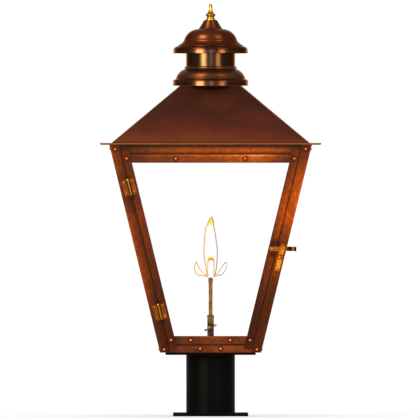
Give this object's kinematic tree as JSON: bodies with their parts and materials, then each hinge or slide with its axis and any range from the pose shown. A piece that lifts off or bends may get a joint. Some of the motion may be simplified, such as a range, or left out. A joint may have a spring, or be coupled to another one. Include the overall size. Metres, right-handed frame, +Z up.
{
  "type": "post top lantern",
  "caption": "Tapered square copper gas lantern with a hinged glazed door, hipped roof, domed vent cap and open flame burner, on a flanged black post fitter.",
  "frame": {"origin": "centre of the base plate's underside, on the post's axis", "axes": "+Z up along the post, -Y out through the door, +X to the right of someone facing the door"},
  "size_m": [0.3724, 0.3724, 0.6964],
  "materials": {
    "black_steel": "satin black powder coat",
    "plated_steel": "zinc plated",
    "clear_glass": "clear, plain",
    "rivet_copper": "bright hammered copper",
    "gilt_brass": "brass, lightly aged",
    "bright_brass": "polished brass",
    "aged_brass": "brass, dark patina",
    "spun_copper": "spun copper, brown patina",
    "frame_copper": "sheet copper, brown patina",
    "roof_copper": "sheet copper, dark brown patina"
  },
  "bodies": {
    "lantern": {"base_plate": "black_steel", "bottom_rail_back": "frame_copper", "bottom_rail_front": "frame_copper", "bottom_rail_left": "frame_copper", "bottom_rail_right": "frame_copper", "burner_tip": "aged_brass", "cap_bridge": "plated_steel", "cap_rod": "plated_steel", "corner_post_back_left": "frame_copper", "corner_post_back_right": "frame_copper", "corner_post_front_left": "frame_copper", "corner_post_front_right": "frame_copper", "dome_cap": "spun_copper", "door_stops": "frame_copper", "finial": "bright_brass", "floor_pan": "frame_copper", "frame_rivets": "rivet_copper", "gas_inlet": "aged_brass", "hinge_frame_leaf_lower": "gilt_brass", "hinge_frame_leaf_upper": "gilt_brass", "hinge_pins": "gilt_brass", "hinge_rivets_frame": "rivet_copper", "inlet_nut": "aged_brass", "keeper_rivets": "gilt_brass", "latch_keeper": "gilt_brass", "mount_top_plate": "black_steel", "mount_tube": "black_steel", "pane_back": "clear_glass", "pane_left": "clear_glass", "pane_right": "clear_glass", "pane_tabs": "frame_copper", "plate_nuts": "plated_steel", "plate_screws": "plated_steel", "riser_tube": "aged_brass", "rod_nuts": "plated_steel", "roof_crown": "roof_copper", "roof_panel_back": "roof_copper", "roof_panel_front": "roof_copper", "roof_panel_left": "roof_copper", "roof_panel_right": "roof_copper", "top_rail_back": "frame_copper", "top_rail_front": "frame_copper", "top_rail_left": "frame_copper", "top_rail_right": "frame_copper", "valve_body": "aged_brass", "vent_collar": "spun_copper", "vent_drum": "spun_copper"},
    "door": {"door_stile_left": "frame_copper", "door_stile_right": "frame_copper", "door_rail_top": "frame_copper", "door_rail_bottom": "frame_copper", "door_pane": "clear_glass", "door_tabs": "frame_copper", "door_rivets": "rivet_copper", "hinge_door_leaf_upper": "gilt_brass", "hinge_door_leaf_lower": "gilt_brass", "hinge_rivets_door": "rivet_copper", "latch_rivet": "rivet_copper"},
    "latch_bar": {"latch_bar": "gilt_brass"},
    "valve_handle": {"valve_handle": "aged_brass"}
  },
  "joints": [
    {"name": "door_swing", "type": "hinge", "parent": "lantern", "child": "door", "pos_m": [-0.08559, -0.10433, 0.17606], "axis": [0.2301, 0.2301, -0.9456], "range_deg": [0, 110]},
    {"name": "latch_lift", "type": "hinge", "parent": "door", "child": "latch_bar", "pos_m": [0.104, -0.12863, 0.2831], "axis": [0, -0.9716, -0.2365], "range_deg": [0, 60]},
    {"name": "valve_turn", "type": "hinge", "parent": "lantern", "child": "valve_handle", "pos_m": [0, -0.0121, 0.1495], "axis": [0, -1, 0], "range_deg": [-27, 63]}
  ]
}
